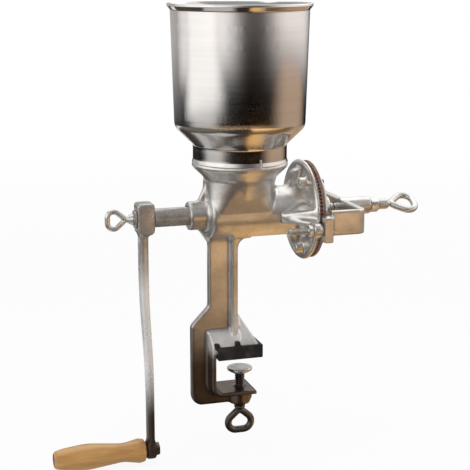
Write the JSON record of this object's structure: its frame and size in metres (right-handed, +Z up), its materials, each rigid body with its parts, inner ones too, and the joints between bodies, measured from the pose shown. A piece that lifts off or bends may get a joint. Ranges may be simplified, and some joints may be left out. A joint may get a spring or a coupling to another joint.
{
  "type": "hand crank grain mill",
  "caption": "Table-clamped hand mill: spun hopper over a worm-fed barrel, toothed grinding plates, adjusting yoke, and a cranked handle with a wooden grip.",
  "frame": {"origin": "on the underside of the jaw pad, which is the table top, directly under the hopper's axis", "axes": "+Z up along the hopper's axis; +X along the barrel from the crank to the grinding plates; +Y towards the back of the view in the picture"},
  "size_m": [0.3774, 0.138, 0.447],
  "materials": {
    "tinned_casting": "hot tinned, satin",
    "tinned_fitting": "hot tinned, satin",
    "tinned_worm": "hot tinned, satin",
    "black_rubber": "matte",
    "spun_steel": "spun, satin",
    "plate_iron": "bare, lightly rusted",
    "plain_steel": "satin",
    "bright_steel": "zinc plated",
    "dark_steel": "blackened",
    "pale_wood": "clear lacquer"
  },
  "bodies": {
    "frame": {"body_casting": "tinned_casting", "jaw_pad": "black_rubber", "stationary_plate": "plate_iron", "stationary_plate_screws": "dark_steel", "yoke": "tinned_fitting", "yoke_studs": "bright_steel", "yoke_nuts": "bright_steel"},
    "hopper": {"hopper": "spun_steel"},
    "thrust_ball": {"thrust_ball": "bright_steel"},
    "adjusting_screw": {"adjusting_screw": "bright_steel"},
    "lock_nut": {"lock_nut": "bright_steel"},
    "rotor": {"drive_shaft": "plain_steel", "feed_worm": "tinned_worm", "worm_pin": "bright_steel", "plate_carrier": "tinned_fitting", "carrier_pin": "bright_steel", "rotating_plate": "plate_iron", "rotating_plate_screws": "dark_steel", "crank_arm": "plain_steel", "grip_bolt": "dark_steel", "grip_washer": "plain_steel", "grip_nut": "dark_steel"},
    "grip": {"grip": "pale_wood"},
    "crank_washer": {"crank_screw_washer": "plain_steel"},
    "crank_screw": {"crank_screw": "bright_steel"},
    "swivel_pad": {"clamp_swivel_pad": "bright_steel"},
    "clamp_screw": {"clamp_screw": "dark_steel"}
  },
  "joints": [
    {"name": "hopper_lift", "type": "slide", "parent": "frame", "child": "hopper", "axis": [0, 0, 1], "range_m": [0, 0.06]},
    {"name": "plate_gap", "type": "slide", "parent": "frame", "child": "thrust_ball", "axis": [1, 0, 0], "range_m": [-0.00025, 0.0025]},
    {"name": "adjuster_turn", "type": "hinge", "parent": "thrust_ball", "child": "adjusting_screw", "pos_m": [0.12, 0, 0.141], "axis": [1, 0, 0], "range_deg": [-72, 720]},
    {"name": "lock_nut_turn", "type": "hinge", "parent": "adjusting_screw", "child": "lock_nut", "pos_m": [0.141, 0, 0.141], "axis": [1, 0, 0], "range_deg": [0, 90]},
    {"name": "crank_turn", "type": "hinge", "parent": "thrust_ball", "child": "rotor", "pos_m": [0, 0, 0.141], "axis": [1, 0, 0], "continuous": true},
    {"name": "grip_spin", "type": "hinge", "parent": "rotor", "child": "grip", "pos_m": [-0.14, 0, -0.0925], "axis": [1, 0, 0], "continuous": true},
    {"name": "crank_screw_travel", "type": "slide", "parent": "rotor", "child": "crank_washer", "axis": [1, 0, 0], "range_m": [-0.01, 0]},
    {"name": "crank_screw_turn", "type": "hinge", "parent": "crank_washer", "child": "crank_screw", "pos_m": [-0.1, 0, 0.141], "axis": [1, 0, 0], "range_deg": [-2880, 0]},
    {"name": "clamp_travel", "type": "slide", "parent": "frame", "child": "swivel_pad", "axis": [0, 0, 1], "range_m": [-0.0135, 0.0025]},
    {"name": "clamp_turn", "type": "hinge", "parent": "swivel_pad", "child": "clamp_screw", "pos_m": [0, 0, -0.04], "axis": [0, 0, 1], "range_deg": [-2430, 450]}
  ],
  "couplings": [
    {"joint": "adjuster_turn", "follows": "plate_gap", "rad_per_m": 5026.5},
    {"joint": "crank_screw_turn", "follows": "crank_screw_travel", "rad_per_m": 5026.5},
    {"joint": "clamp_turn", "follows": "clamp_travel", "rad_per_m": 3141.6}
  ]
}
